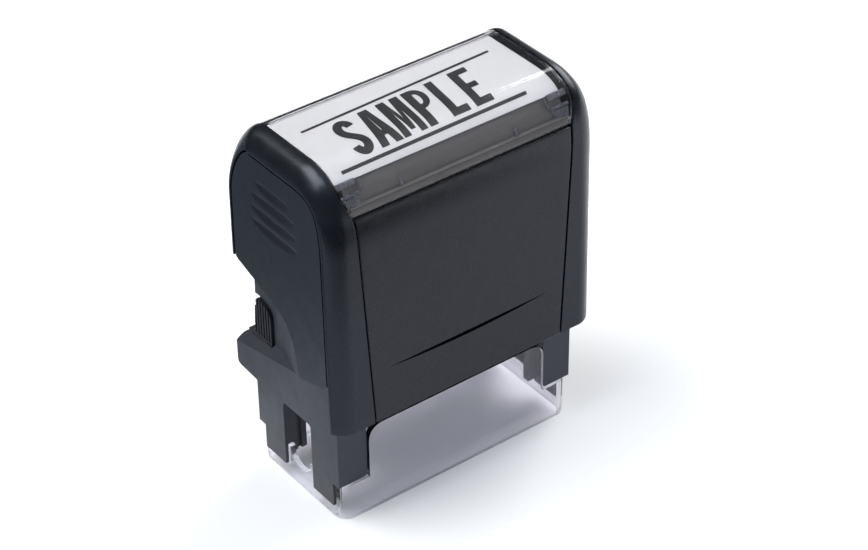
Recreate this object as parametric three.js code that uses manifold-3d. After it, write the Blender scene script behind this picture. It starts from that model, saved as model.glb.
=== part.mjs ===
// Self-inking office stamp with a flip-over text die, millimetres, +Z up.
// +X runs along the stamp's length, -Y is its front long side, and the origin is the middle of
// the footprint on the table. The cap slides down over the base frame; the die hangs in the cap's
// bridge and turns over as it goes down; the ink pad pulls out of the back.

import * as THREE from 'three';
import { mergeVertices } from 'three/addons/utils/BufferGeometryUtils.js';
import Module from 'manifold-3d';

const wasm = await Module();
wasm.setup();

// ---- driving dimensions ----

const CAP = {
  halfLength: 33.5,     // outside of the end panels
  halfDepth: 19.2,      // outside of the front and back faces at the hem
  shoulderDepth: 18.7,  // the same where the shoulders begin
  shoulderStart: 68.5,  // height where they begin
  top: 86,              // highest point
  wall: 2.0,
  edgeRound: 3.6,       // how far the end edges pull in
  edgeDepth: 4.4,       // and over what length
  endInner: 31.3,       // inside of the end panels
  topInset: 28.8,       // inner edge of the end bands on top
  sideInset: 27.2,      // inner edge of the end bands where the window ends
  hemInset: 24.4,       // inner edge of the end bands at the front hem
  hem: 26.5,            // lower edge of the front panel and the bands
  backHem: 53,
  windowHem: 77,        // lower edge of the clear window
};
const GAP = 0.3;        // parting line between neighbouring mouldings

// Curve of each shoulder: the height it rises to upright, the depth it pulls in to, the flat top.
const SHOULDERS = {
  front: { rise: 80, pull: 15.4, flat: 6.5 },
  back: { rise: 76, pull: 13.1, flat: 8.7 },
};

const FRAME = {
  halfLength: 30.8,
  halfDepth: 14.5,
  endWall: 2.3,
  longWall: 1.6,
  slotHalf: 5,          // half width of the guide slot in each end
  slotTop: 20,
  footClear: 3.3,       // lower edge of the black legs
  ribLow: 5.6,          // lower edge of the guide ribs inside the legs
  legInner: 23.5,       // inner edge of the legs' long faces
  legCut: 9.3,          // lower edge of the legs' long faces
  crossLow: 24,         // lower edge of the long walls between the legs
  roofLow: 42.8,
  roofTop: 45.2,
  endTop: 50,
  ledgeDepth: 21.6,     // how far the ledge reaches out at the back
  recess: 2.2,          // depth of the finger recess in each end
  recessRear: 16.6,     // rear edge of the end walls above the ledge
  innerFace: 27.2,      // inner face of the end walls behind the recess
};

const SKIRT = {
  halfLength: 30.4,
  halfDepth: 14.95,
  wall: 1.4,
  rimTop: 2.9,
  cornerTop: 9.0,
  wallHalf: 23.2,       // half length of the tall clear walls
  wallTop: 22,
  corner: 3,
  tabHalf: 4.65,        // half width of the clear tab in each guide slot
};

const TRAVEL = 21;                        // stroke of the cap
const DIE_FACE = 7.5;                     // axle to the face of the letters
const AXLE_Z = TRAVEL + DIE_FACE;         // the letters meet the paper at the bottom of the stroke
const AXLE_R = 2.0;
const RUNNING_GAP = 0.08;

const ARM = { inner: 25.3, outer: 27.0, half: 4.5, below: 4.0 };
const CROSSBAR = { low: 76, high: 79, half: 11, halfLength: 31.0 };
const FLIP_CAM = { inner: 27.2, outer: 28.1, radius: 4.2 };
const PAD = {
  faceZ: AXLE_Z + DIE_FACE + 0.4,         // just above the letters
  halfLength: 24,
  halfDepth: 10.3,
  feltTop: 40.4,
  top: 42.4,
  gripHalf: 29.2,                         // outside of the handle's ribbed ends
  gripGrooves: 6,
  gripPitch: 0.95,
};
const SPRING = { radius: 5.0, wire: 0.45, turns: 7, low: 45.75, high: 75.45 };

// ---- colours and finishes ----

const finish = (color, roughness, extra = {}) =>
  new THREE.MeshStandardMaterial({ color, roughness, metalness: 0, ...extra });
const charcoal = finish(0x2b2e36, 0.5);
const slate = finish(0x2f3136, 0.55);
const frameGrey = finish(0x3a3c44, 0.55);
const innerBlack = finish(0x1a1b1f, 0.6);
const clear = finish(0xdcdae2, 0.08, { transparent: true, opacity: 0.35 });
const paper = finish(0xefeef0, 0.8);
const steel = finish(0xb9bcc0, 0.3, { metalness: 1 });
const rubber = finish(0x8c3f36, 0.7);
const foam = finish(0x3c3c40, 0.95);
const felt = finish(0x17171b, 1.0);

// ---- solids ----

function solid(geometry) {
  const bare = geometry.clone();
  bare.deleteAttribute('normal');
  bare.deleteAttribute('uv');
  const merged = mergeVertices(bare, 1e-4);
  return new wasm.Manifold(new wasm.Mesh({
    numProp: 3,
    vertProperties: new Float32Array(merged.attributes.position.array),
    triVerts: new Uint32Array(merged.index.array),
  }));
}

function toMesh(name, shape, material) {
  const data = shape.getMesh();
  const geometry = new THREE.BufferGeometry();
  geometry.setAttribute('position', new THREE.BufferAttribute(new Float32Array(data.vertProperties), 3));
  geometry.setIndex(new THREE.BufferAttribute(new Uint32Array(data.triVerts), 1));
  geometry.computeVertexNormals();
  const mesh = new THREE.Mesh(geometry, material);
  mesh.name = name;
  return mesh;
}

function box(x0, x1, y0, y1, z0, z1) {
  const geometry = new THREE.BoxGeometry(x1 - x0, y1 - y0, z1 - z0);
  geometry.translate((x0 + x1) / 2, (y0 + y1) / 2, (z0 + z1) / 2);
  return solid(geometry);
}

const union = (first, ...rest) => rest.reduce((sum, next) => sum.add(next), first);

// A box on both sides of the middle plane X = 0, from inner to outer.
const boxPair = (inner, outer, y0, y1, z0, z1) =>
  box(-outer, -inner, y0, y1, z0, z1).add(box(inner, outer, y0, y1, z0, z1));

function outline(points) {
  return new THREE.Shape(points.map(([a, b]) => new THREE.Vector2(a, b)));
}

// Turns a shape drawn in (first, second) axes into a prism along the third.
const AXES = {
  x: [new THREE.Vector3(0, 1, 0), new THREE.Vector3(0, 0, 1), new THREE.Vector3(1, 0, 0)],
  y: [new THREE.Vector3(1, 0, 0), new THREE.Vector3(0, 0, 1), new THREE.Vector3(0, -1, 0)],
  z: [new THREE.Vector3(1, 0, 0), new THREE.Vector3(0, 1, 0), new THREE.Vector3(0, 0, 1)],
};

function prism(shape, axis, from, to, options = {}) {
  const geometry = new THREE.ExtrudeGeometry(shape, {
    depth: to - from, bevelEnabled: false, curveSegments: 8, ...options,
  });
  geometry.applyMatrix4(new THREE.Matrix4().makeBasis(...AXES[axis]));
  if (axis === 'x') geometry.translate(from, 0, 0);
  if (axis === 'y') geometry.translate(0, to, 0);
  if (axis === 'z') geometry.translate(0, 0, from);
  return solid(geometry);
}

function rod(radius, from, to, y, z, sides = 24) {
  const geometry = new THREE.CylinderGeometry(radius, radius, to - from, sides);
  geometry.rotateZ(Math.PI / 2);
  geometry.translate((from + to) / 2, y, z);
  return solid(geometry);
}

function post(radius, x, y, from, to, sides = 24) {
  const geometry = new THREE.CylinderGeometry(radius, radius, to - from, sides);
  geometry.rotateX(Math.PI / 2);
  geometry.translate(x, y, (from + to) / 2);
  return solid(geometry);
}

const mirrorX = (shape) => shape.mirror([1, 0, 0]);

// ---- cap ----

// Cross-section of the cap in (Y, Z): long faces that lean in a little, two shoulders, a flat top.
function archOutline() {
  const { halfDepth, shoulderDepth: w, shoulderStart, top, hem } = CAP;
  const { front, back } = SHOULDERS;
  const foot = halfDepth + ((halfDepth - w) * hem) / (shoulderStart - hem);
  const shape = new THREE.Shape();
  shape.moveTo(-foot, 0);
  shape.lineTo(foot, 0);
  shape.lineTo(w, shoulderStart);
  shape.bezierCurveTo(w, back.rise, back.pull, top, back.flat, top);
  shape.lineTo(-front.flat, top);
  shape.bezierCurveTo(-front.pull, top, -w, front.rise, -w, shoulderStart);
  return shape;
}

// A full-length block of the cap's section, drawn in by inset all round, with rounded end edges.
function archBlock(halfLength, inset, round, roundDepth) {
  const geometry = new THREE.ExtrudeGeometry(archOutline(), {
    depth: 2 * (halfLength - roundDepth), curveSegments: 9, bevelEnabled: true, bevelSegments: 5,
    bevelSize: round, bevelOffset: -round - inset, bevelThickness: roundDepth,
  });
  geometry.applyMatrix4(new THREE.Matrix4().makeBasis(...AXES.x));
  geometry.translate(-(halfLength - roundDepth), 0, 0);
  return solid(geometry);
}

const SQUARE_END = 0.01;
const archSlab = (inset, halfLength = 40) => archBlock(halfLength, inset, SQUARE_END, SQUARE_END);

function capShell() {
  const outer = archBlock(CAP.halfLength, 0, CAP.edgeRound, CAP.edgeDepth);
  const inner = archBlock(CAP.endInner, CAP.wall, 3.0, 4.0).add(box(-26, 26, -10, 10, -5, 20));
  return outer.subtract(inner).intersect(box(-50, 50, -50, 50, 15, 100));
}

// Middle part of the cap between the two end bands, seen from the front, drawn in by gap.
function middleZone(gap) {
  const right = [
    [CAP.hemInset - gap - 0.28, 20], [CAP.hemInset - gap, CAP.hem],
    [CAP.sideInset - gap, CAP.windowHem], [CAP.topInset - gap, 84], [CAP.topInset - gap, 95],
  ];
  const left = right.map(([x, z]) => [-x, z]).reverse();
  return prism(outline([...right, ...left]), 'y', -30, 30);
}

const PANEL_LINE = { frontY: -16.2, frontZ: 37.3, turnY: -5.9, turnZ: 34.6 };

// Outline of an end panel in (Y, Z): a tilted lower edge at the front, an S-curve at the back.
function panelZone() {
  const shape = new THREE.Shape();
  shape.moveTo(PANEL_LINE.frontY, PANEL_LINE.frontZ);
  shape.lineTo(PANEL_LINE.turnY, PANEL_LINE.turnZ);
  shape.bezierCurveTo(-5.2, 42, -3.5, 47.5, 5.2, 49.6);
  shape.lineTo(15.5, CAP.backHem);
  shape.lineTo(18, CAP.backHem + 0.8);
  shape.lineTo(18, 90);
  shape.lineTo(-16.2, 90);
  return prism(shape, 'x', CAP.endInner - 5, 40);
}

// Four grip grooves across an end panel, each a shallow lens.
function gripGrooves() {
  const depth = 0.55;
  const height = 1.1;
  const centre = 0.2;
  const halfWidths = [5.6, 7.4, 7.7, 7.7];
  return halfWidths.map((half, row) => {
    const lens = new THREE.Shape();
    lens.moveTo(CAP.halfLength + 1, centre - half);
    lens.lineTo(CAP.halfLength + 1, centre + half);
    lens.lineTo(CAP.halfLength, centre + half);
    lens.quadraticCurveTo(CAP.halfLength - 2 * depth, centre, CAP.halfLength, centre - half);
    const low = 74.7 - 3.2 * row;
    return prism(lens, 'z', low, low + height, { curveSegments: 5 });
  });
}

const endZone = () => archSlab(CAP.edgeRound).intersect(box(CAP.endInner - 2, 45, -30, 30, 0, 100));

function endPanel(shell) {
  const inside = archSlab(CAP.edgeRound + GAP).intersect(panelZone());
  const right = box(CAP.endInner - 0.01, 40, -30, 30, 0, 100);
  const plain = shell.intersect(inside).intersect(right);
  return gripGrooves().reduce((panel, groove) => panel.subtract(groove), plain);
}

function endBand(shell) {
  const right = box(20, 40, -30, 30, CAP.hem, 100);
  const backCut = box(0, 50, 0, 50, 0, CAP.backHem);
  return shell.intersect(right).subtract(middleZone(0)).subtract(endZone()).subtract(backCut);
}

function longPanel(shell, side) {
  const half = side < 0 ? box(-40, 40, -30, -5, CAP.hem, CAP.windowHem - GAP)
    : box(-40, 40, 5, 30, CAP.backHem, CAP.windowHem - GAP);
  return shell.intersect(middleZone(GAP)).intersect(half);
}

// A curved sheet that follows the top of the cap, from inset a down to inset b.
function topSheet(a, b) {
  return archSlab(a).subtract(archSlab(b)).intersect(box(-50, 50, -50, 50, CAP.windowHem, 100));
}

function capPieces() {
  const shell = capShell();
  const band = endBand(shell);
  const panel = endPanel(shell);
  const window = topSheet(0, 1.2).intersect(middleZone(GAP));
  const tray = topSheet(CAP.wall, CAP.wall + 1.5).intersect(box(-26.9, 26.9, -30, 30, 0, 100));
  const label = topSheet(1.35, 1.75).intersect(box(-28.1, 26, -13, 13, 0, 100));
  const bore = rod(AXLE_R + RUNNING_GAP, -40, 40, 0, AXLE_Z, 24);
  const arms = boxPair(ARM.inner, ARM.outer, -ARM.half, ARM.half, AXLE_Z - ARM.below, CROSSBAR.low + 0.5);
  const crossbar = box(-CROSSBAR.halfLength, CROSSBAR.halfLength, -CROSSBAR.half, CROSSBAR.half,
    CROSSBAR.low, CROSSBAR.high);
  const springBoss = post(3.2, 0, 0, 73, CROSSBAR.low + 0.5);
  const bridge = union(arms, crossbar, springBoss).subtract(bore);
  return [
    toMesh('front_panel', longPanel(shell, -1), slate),
    toMesh('back_panel', longPanel(shell, 1), slate),
    toMesh('right_end_band', band, charcoal),
    toMesh('left_end_band', mirrorX(band), charcoal),
    toMesh('right_end_panel', panel, charcoal),
    toMesh('left_end_panel', mirrorX(panel), charcoal),
    toMesh('index_window', window, clear),
    toMesh('index_label', label, paper),
    toMesh('index_tray', tray, innerBlack),
    toMesh('bridge', bridge, innerBlack),
  ];
}

// ---- base ----

// Outline of an end wall in (Y, Z), with its two legs, guide slot, ledge and pad opening.
function endWallOutline() {
  const { halfDepth: d, slotHalf: s, slotTop, footClear: z0, legCut, endTop, ledgeDepth: b } = FRAME;
  const legHalf = 12.3;
  const shape = new THREE.Shape();
  shape.moveTo(-s, z0);
  shape.lineTo(-s, slotTop - 1);
  shape.quadraticCurveTo(-s, slotTop, -s + 1, slotTop);
  shape.lineTo(s - 1, slotTop);
  shape.quadraticCurveTo(s, slotTop, s, slotTop - 1);
  shape.lineTo(s, z0);
  shape.lineTo(legHalf, z0);
  shape.lineTo(legHalf, legCut);
  shape.lineTo(d, legCut);
  shape.lineTo(d, 20.0);
  shape.lineTo(b - 1.2, 20.4);
  shape.quadraticCurveTo(b, 20.5, b, 21.8);
  shape.lineTo(b, 26.2);
  shape.bezierCurveTo(b, 28.2, b - 1.2, 29.4, 17.5, 29.5);
  shape.lineTo(10.1, 30.2);
  shape.lineTo(10.1, 37.3);
  shape.bezierCurveTo(10.1, 39.6, 12.0, 41.0, FRAME.recessRear, 40.7);
  shape.lineTo(FRAME.recessRear - 0.1, 46);
  shape.lineTo(15.2, 48.5);
  shape.lineTo(13.4, endTop);
  shape.lineTo(-d + 2, endTop);
  shape.lineTo(-d, endTop - 2);
  shape.lineTo(-d, legCut);
  shape.lineTo(-legHalf, legCut);
  shape.lineTo(-legHalf, z0);
  return shape;
}

// Finger recess above the ledge: a hollow ramp in plan, over a floor that falls to the end and rear.
function fingerRecess() {
  const { halfLength: l, recess } = FRAME;
  const plan = new THREE.Shape();
  plan.moveTo(l + 1, -0.6);
  plan.lineTo(l, -0.6);
  plan.bezierCurveTo(l - 0.6, 2.6, l - recess + 0.1, 6.5, l - recess, 10);
  plan.lineTo(l - recess, 25);
  plan.lineTo(l + 1, 25);
  const floorFall = { end: 0.95, rear: 0.21, atEnd: 30.96 };
  const slab = new THREE.BoxGeometry(20, 80, 40).translate(30, 0, 20);
  const tilt = new THREE.Matrix4().set(
    1, 0, 0, 0,
    0, 1, 0, 0,
    -floorFall.end, -floorFall.rear, 1, floorFall.atEnd + floorFall.end * l,
    0, 0, 0, 1,
  );
  slab.applyMatrix4(tilt);
  return solid(slab).intersect(prism(plan, 'z', 20, 60));
}

function frontOfFrame() {
  const { halfLength: l, legInner, legCut, crossLow, roofTop } = FRAME;
  const points = [
    [-l, legCut], [-legInner - 0.6, legCut], [-legInner, legCut + 0.6], [-legInner, crossLow],
    [legInner, crossLow], [legInner, legCut + 0.6], [legInner + 0.6, legCut], [l, legCut],
    [l, roofTop], [-l, roofTop],
  ];
  return prism(outline(points), 'y', -FRAME.halfDepth, -FRAME.halfDepth + FRAME.longWall);
}

function backOfFrame() {
  const { halfLength: l, legInner, legCut, crossLow, halfDepth: d, ledgeDepth: b } = FRAME;
  const points = [
    [-l, legCut], [-legInner, legCut], [-legInner, crossLow], [legInner, crossLow],
    [legInner, legCut], [l, legCut], [l, 33.2], [-l, 33.2],
  ];
  const wall = prism(outline(points), 'y', d - FRAME.longWall, d)
    .subtract(boxPair(FRAME.innerFace - 0.8, l + 1, 0, 30, 29.5, 40));
  const hood = new THREE.Shape();
  hood.moveTo(b - 1.6, 20.5);
  hood.lineTo(b, 21.8);
  hood.lineTo(b, 26.2);
  hood.bezierCurveTo(b, 28.2, b - 1.2, 29.4, 17.5, 29.5);
  hood.lineTo(13, 29.7);
  hood.lineTo(13, 28.1);
  hood.lineTo(17.3, 27.9);
  hood.bezierCurveTo(19.0, 27.8, b - 1.6, 27.2, b - 1.6, 26.2);
  return wall.add(prism(hood, 'x', -l + 2.25, l - 2.25));
}

function baseFrame() {
  const { halfLength: l, halfDepth: d, endWall: t, slotHalf: s, innerFace } = FRAME;
  const behindRecess = prism(endWallOutline(), 'x', innerFace, l - t + 0.3)
    .intersect(box(20, 40, s + 0.6, FRAME.recessRear, 22, 48));
  const recess = fingerRecess();
  const right = prism(endWallOutline(), 'x', l - t, l).add(behindRecess).subtract(recess);
  const back = backOfFrame().subtract(recess).subtract(mirrorX(recess));
  const ribs = union(
    boxPair(ARM.inner, l - t + 0.5, -d + 0.5, -s - 0.001, FRAME.ribLow, 22)
      .subtract(boxPair(ARM.inner - 1, l - t, -12.9, -s - 1.7, 0, 30)),
    boxPair(ARM.inner, l - t + 0.5, s + 0.001, d - 0.5, FRAME.ribLow, 22)
      .subtract(boxPair(ARM.inner - 1, l - t, s + 1.7, 12.9, 0, 30)),
  ).subtract(union(
    boxPair(ARM.inner - 1, l + 1, -20, -12.3, 0, FRAME.legCut),
    boxPair(ARM.inner - 1, l + 1, 12.3, 20, 0, FRAME.legCut),
  ));
  const guideGrooves = boxPair(26.6, 27.6, -s - 0.6, s + 0.6, 0, 22.5);
  const roof = box(-l + t - 0.5, l - t + 0.5, -d + 0.5, 11.3, FRAME.roofLow, FRAME.roofTop);
  const armSlots = boxPair(ARM.inner - 0.5, ARM.outer + 0.5, -ARM.half - 0.5, ARM.half + 0.5, 40, 50);
  const camRoom = boxPair(ARM.inner - 0.5, l - t, -5.5, 5.5, 22, 36);
  const springPost = post(3.6, 0, 0, FRAME.roofTop - 0.5, 49);
  return union(right, mirrorX(right), ribs, frontOfFrame(), back, roof.subtract(armSlots))
    .subtract(guideGrooves).subtract(camRoom).add(springPost);
}

function roundedRectangle(halfX, halfY, radius) {
  const shape = new THREE.Shape();
  shape.moveTo(-halfX + radius, -halfY);
  shape.lineTo(halfX - radius, -halfY);
  shape.absarc(halfX - radius, -halfY + radius, radius, -Math.PI / 2, 0);
  shape.lineTo(halfX, halfY - radius);
  shape.absarc(halfX - radius, halfY - radius, radius, 0, Math.PI / 2);
  shape.lineTo(-halfX + radius, halfY);
  shape.absarc(-halfX + radius, halfY - radius, radius, Math.PI / 2, Math.PI);
  shape.lineTo(-halfX, -halfY + radius);
  shape.absarc(-halfX + radius, -halfY + radius, radius, Math.PI, Math.PI * 1.5);
  return shape;
}

function clearSkirt() {
  const { halfLength: l, halfDepth: d, wall, rimTop, cornerTop, wallHalf, wallTop, corner } = SKIRT;
  const { tabHalf } = SKIRT;
  const outer = prism(roundedRectangle(l, d, corner), 'z', 0, wallTop);
  const inner = prism(roundedRectangle(l - wall, d - wall, corner - wall), 'z', -1, wallTop + 1);
  const ring = outer.subtract(inner);
  const endsCut = box(-40, 40, -12.6, 12.6, rimTop, 40);
  const endTabs = boxPair(l - 1.3, l - 0.1, -tabHalf, tabHalf, 0.5, 8.5)
    .subtract(rod(3.6, -40, 40, 0, 8.2, 24));
  const profile = new THREE.Shape();
  profile.moveTo(-40, -1);
  profile.lineTo(40, -1);
  profile.lineTo(40, cornerTop);
  profile.lineTo(wallHalf, cornerTop);
  profile.lineTo(wallHalf, wallTop - 4);
  profile.quadraticCurveTo(wallHalf, wallTop, wallHalf - 4, wallTop);
  profile.lineTo(-wallHalf + 4, wallTop);
  profile.quadraticCurveTo(-wallHalf, wallTop, -wallHalf, wallTop - 4);
  profile.lineTo(-wallHalf, cornerTop);
  profile.lineTo(-40, cornerTop);
  const side = prism(profile, 'y', -40, 40);
  return ring.subtract(endsCut).intersect(side).add(endTabs);
}

class SpringPath extends THREE.Curve {
  getPoint(t, target = new THREE.Vector3()) {
    const angle = t * SPRING.turns * 2 * Math.PI;
    const z = SPRING.low + t * (SPRING.high - SPRING.low);
    return target.set(SPRING.radius * Math.cos(angle), SPRING.radius * Math.sin(angle), z);
  }
}

function returnSpring() {
  const wire = new THREE.Shape();
  wire.absarc(0, 0, SPRING.wire, 0, 2 * Math.PI);
  return solid(new THREE.ExtrudeGeometry(wire, {
    steps: SPRING.turns * 14, curveSegments: 6, extrudePath: new SpringPath(),
  }));
}

// ---- ink pad ----

function inkTray() {
  const { halfLength: l, halfDepth: d, feltTop, top, faceZ } = PAD;
  const rimOut = 0.7;
  const lid = box(-l - rimOut, l + rimOut, -d - 1.1, d + 1.1, feltTop + 0.1, top);
  const rim = box(-l - rimOut, l + rimOut, -d - 1.1, d + 1.1, faceZ + 0.6, feltTop + 0.2)
    .subtract(box(-l - 0.05, l + 0.05, -d - 0.05, d + 0.05, 0, feltTop + 0.3));
  const bar = new THREE.Shape();
  bar.moveTo(d + 0.9, 33.7);
  bar.lineTo(14.9, 33.7);
  bar.lineTo(14.9, 29.95);
  bar.lineTo(18.7, 29.9);
  bar.quadraticCurveTo(19.4, 30.6, 18.3, 30.9);
  bar.quadraticCurveTo(16.6, 31.0, 16.4, 31.8);
  bar.lineTo(16.4, 34.4);
  bar.bezierCurveTo(16.0, 37.0, 16.4, 40.2, 15.0, 40.2);
  bar.lineTo(d + 0.9, 40.0);
  const grip = new THREE.Shape();
  grip.moveTo(10.4, 30.6);
  grip.lineTo(14.9, 29.95);
  grip.lineTo(18.7, 29.9);
  grip.quadraticCurveTo(19.4, 30.6, 18.3, 30.9);
  grip.quadraticCurveTo(16.6, 31.0, 16.4, 31.8);
  grip.lineTo(16.4, 34.4);
  grip.bezierCurveTo(16.0, 37.0, 16.4, 40.2, 15.0, 40.2);
  grip.bezierCurveTo(12.6, 40.2, 10.4, 39.0, 10.4, 36.9);
  const grooves = [];
  for (let i = 0; i < PAD.gripGrooves; i += 1) {
    const y = 11.15 + i * PAD.gripPitch;
    grooves.push(box(PAD.gripHalf - 0.35, PAD.gripHalf + 1, y - 0.2, y + 0.2, 31, 41));
  }
  const rightGrip = prism(grip, 'x', FRAME.innerFace - 0.5, PAD.gripHalf).subtract(union(...grooves));
  const barHalf = FRAME.innerFace - 0.4;
  return union(lid, rim, prism(bar, 'x', -barHalf, barHalf), rightGrip, mirrorX(rightGrip));
}

// ---- die ----

// Strokes of the block capitals on the die, each a list of joined points in a 4 by 6 cell.
const STROKES = {
  S: [[[4, 5], [3, 6], [1, 6], [0, 5], [0, 4], [1, 3], [3, 3], [4, 2], [4, 1], [3, 0], [1, 0], [0, 1]]],
  A: [[[0, 0], [2, 6], [4, 0]], [[0.8, 2], [3.2, 2]]],
  M: [[[0, 0], [0, 6], [2, 2.5], [4, 6], [4, 0]]],
  P: [[[0, 0], [0, 6], [3, 6], [4, 5], [4, 4], [3, 3], [0, 3]]],
  L: [[[0, 6], [0, 0], [4, 0]]],
  E: [[[4, 6], [0, 6], [0, 0], [4, 0]], [[0, 3], [3, 3]]],
};
const WORD = 'SAMPLE';
const LETTER = { width: 4.4, height: 6.7, pitch: 6.0, stroke: 1.1 };

function bar(x0, y0, x1, y1, width, low, high) {
  const length = Math.hypot(x1 - x0, y1 - y0) + width * 0.8;
  const geometry = new THREE.BoxGeometry(length, width, high - low);
  geometry.rotateZ(Math.atan2(y1 - y0, x1 - x0));
  geometry.translate((x0 + x1) / 2, (y0 + y1) / 2, (low + high) / 2);
  return solid(geometry);
}

// Raised word between two rules, mirrored so that it prints the right way round.
function raisedText(low, high) {
  const bars = [
    box(-23, 23, 5.2, 5.9, low, high),
    box(-23, 23, -5.9, -5.2, low, high),
  ];
  [...WORD].forEach((letter, index) => {
    const left = (index - WORD.length / 2) * LETTER.pitch + (LETTER.pitch - LETTER.width) / 2;
    for (const stroke of STROKES[letter]) {
      for (let i = 1; i < stroke.length; i += 1) {
        const [a, b] = [stroke[i - 1], stroke[i]].map(([u, v]) =>
          [-(left + u * LETTER.width / 4), (v / 6 - 0.5) * LETTER.height]);
        bars.push(bar(a[0], a[1], b[0], b[1], LETTER.stroke, low, high));
      }
    }
  });
  return bars.reduce((sum, next) => sum.add(next));
}

function flipCam() {
  const shape = new THREE.Shape();
  shape.absarc(0, 0, FLIP_CAM.radius, -0.9, Math.PI + 0.9);
  shape.lineTo(-1.4, -2.7);
  shape.lineTo(1.4, -2.7);
  const disc = prism(shape, 'x', FLIP_CAM.inner, FLIP_CAM.outer, { curveSegments: 20 });
  return disc.translate([0, 0, AXLE_Z]).subtract(rod(AXLE_R + RUNNING_GAP, 20, 40, 0, AXLE_Z));
}

function diePieces() {
  const z = AXLE_Z;
  const section = outline([
    [-8.5, z - 1.5], [-6.5, z - 3.6], [6.5, z - 3.6], [8.5, z - 1.5], [8.5, z + 2.2], [-8.5, z + 2.2],
  ]);
  const hollow = box(-22, 22, -5.5, 5.5, z - 5, z - 2.4);
  const carrier = prism(section, 'x', -24.6, 24.6).subtract(hollow)
    .add(rod(AXLE_R, -28.3, 28.3, 0, z));
  const plate = box(-24.3, 24.3, -9.2, 9.2, z + 2.4, z + 4.0);
  const cushion = box(-23.8, 23.8, -8.9, 8.9, z + 4.1, z + 5.4);
  const sheet = box(-23.6, 23.6, -8.9, 8.9, z + 5.5, z + 6.5).add(raisedText(z + 6.3, z + DIE_FACE));
  const cam = flipCam();
  return [
    toMesh('die_carrier', carrier, innerBlack),
    toMesh('text_plate', plate, slate),
    toMesh('die_cushion', cushion, foam),
    toMesh('rubber_die', sheet, rubber),
    toMesh('right_flip_cam', cam, innerBlack),
    toMesh('left_flip_cam', mirrorX(cam), innerBlack),
  ];
}

// ---- assembly ----

const base = new THREE.Group();
base.add(toMesh('base_frame', baseFrame(), frameGrey));
base.add(toMesh('clear_skirt', clearSkirt(), clear));

const pad = new THREE.Group();
const inkPad = box(-PAD.halfLength, PAD.halfLength, -PAD.halfDepth, PAD.halfDepth, PAD.faceZ, PAD.feltTop);
pad.add(toMesh('ink_tray', inkTray(), innerBlack));
pad.add(toMesh('ink_pad', inkPad, felt));

const cap = new THREE.Group();
cap.add(...capPieces());
cap.add(toMesh('return_spring', returnSpring(), steel));

const die = new THREE.Group();
die.add(...diePieces());

const stamp = new THREE.Group();
stamp.add(base, pad, cap, die);
stamp.position.y = (CAP.halfDepth - FRAME.ledgeDepth) / 2;    // origin below the middle of the whole

export default stamp;
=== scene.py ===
"""Self-inking office stamp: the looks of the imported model, in metres, +Z up, front towards -Y.

The cap presses down over the base frame, the die turns over in the bridge, the ink pad pulls out
of the back and the index window lifts off. Sizes below are millimetres, turned to metres by MM.
"""

import math

import bmesh
import bpy
from mathutils import Matrix, Vector
from mathutils.geometry import delaunay_2d_cdt


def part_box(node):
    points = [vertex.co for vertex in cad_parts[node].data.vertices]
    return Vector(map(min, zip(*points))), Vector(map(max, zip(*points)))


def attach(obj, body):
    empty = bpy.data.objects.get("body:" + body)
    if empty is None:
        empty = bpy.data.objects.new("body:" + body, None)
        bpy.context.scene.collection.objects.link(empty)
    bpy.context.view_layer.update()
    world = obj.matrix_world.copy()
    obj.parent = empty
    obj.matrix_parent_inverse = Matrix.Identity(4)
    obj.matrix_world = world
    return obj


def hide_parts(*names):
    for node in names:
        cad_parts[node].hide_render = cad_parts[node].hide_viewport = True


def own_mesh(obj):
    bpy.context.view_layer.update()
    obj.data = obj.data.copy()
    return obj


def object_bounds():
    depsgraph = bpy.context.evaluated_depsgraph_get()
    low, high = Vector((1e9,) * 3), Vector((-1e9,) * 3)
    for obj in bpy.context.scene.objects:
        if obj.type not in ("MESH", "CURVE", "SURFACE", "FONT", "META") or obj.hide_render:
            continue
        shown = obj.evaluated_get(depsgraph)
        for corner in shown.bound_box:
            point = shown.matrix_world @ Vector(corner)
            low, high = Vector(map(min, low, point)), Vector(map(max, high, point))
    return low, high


MM = 0.001

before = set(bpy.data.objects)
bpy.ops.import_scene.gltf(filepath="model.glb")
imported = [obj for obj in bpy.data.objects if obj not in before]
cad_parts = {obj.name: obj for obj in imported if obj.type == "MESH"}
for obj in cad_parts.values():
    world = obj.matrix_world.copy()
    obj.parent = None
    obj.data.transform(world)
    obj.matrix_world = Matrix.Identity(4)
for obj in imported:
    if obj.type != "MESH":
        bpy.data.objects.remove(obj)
cad_low, cad_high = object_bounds()

# ---- sizes taken from the frame ----

TOP = cad_high.z / MM
HALF_LENGTH = cad_high.x / MM
MIDDLE = (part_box("clear_skirt")[0].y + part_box("clear_skirt")[1].y) / 2    # of the cap, in metres
HALF_DEPTH = (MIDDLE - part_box("front_panel")[0].y) / MM
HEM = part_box("front_panel")[0].z / MM
HEM_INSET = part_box("right_end_band")[0].x / MM
PANEL_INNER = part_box("right_end_panel")[0].x / MM
FRONT_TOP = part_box("front_panel")[1].z / MM
BACK_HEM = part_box("back_panel")[0].z / MM
WINDOW_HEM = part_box("index_window")[0].z / MM

# ---- shape of the cap ----

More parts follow.
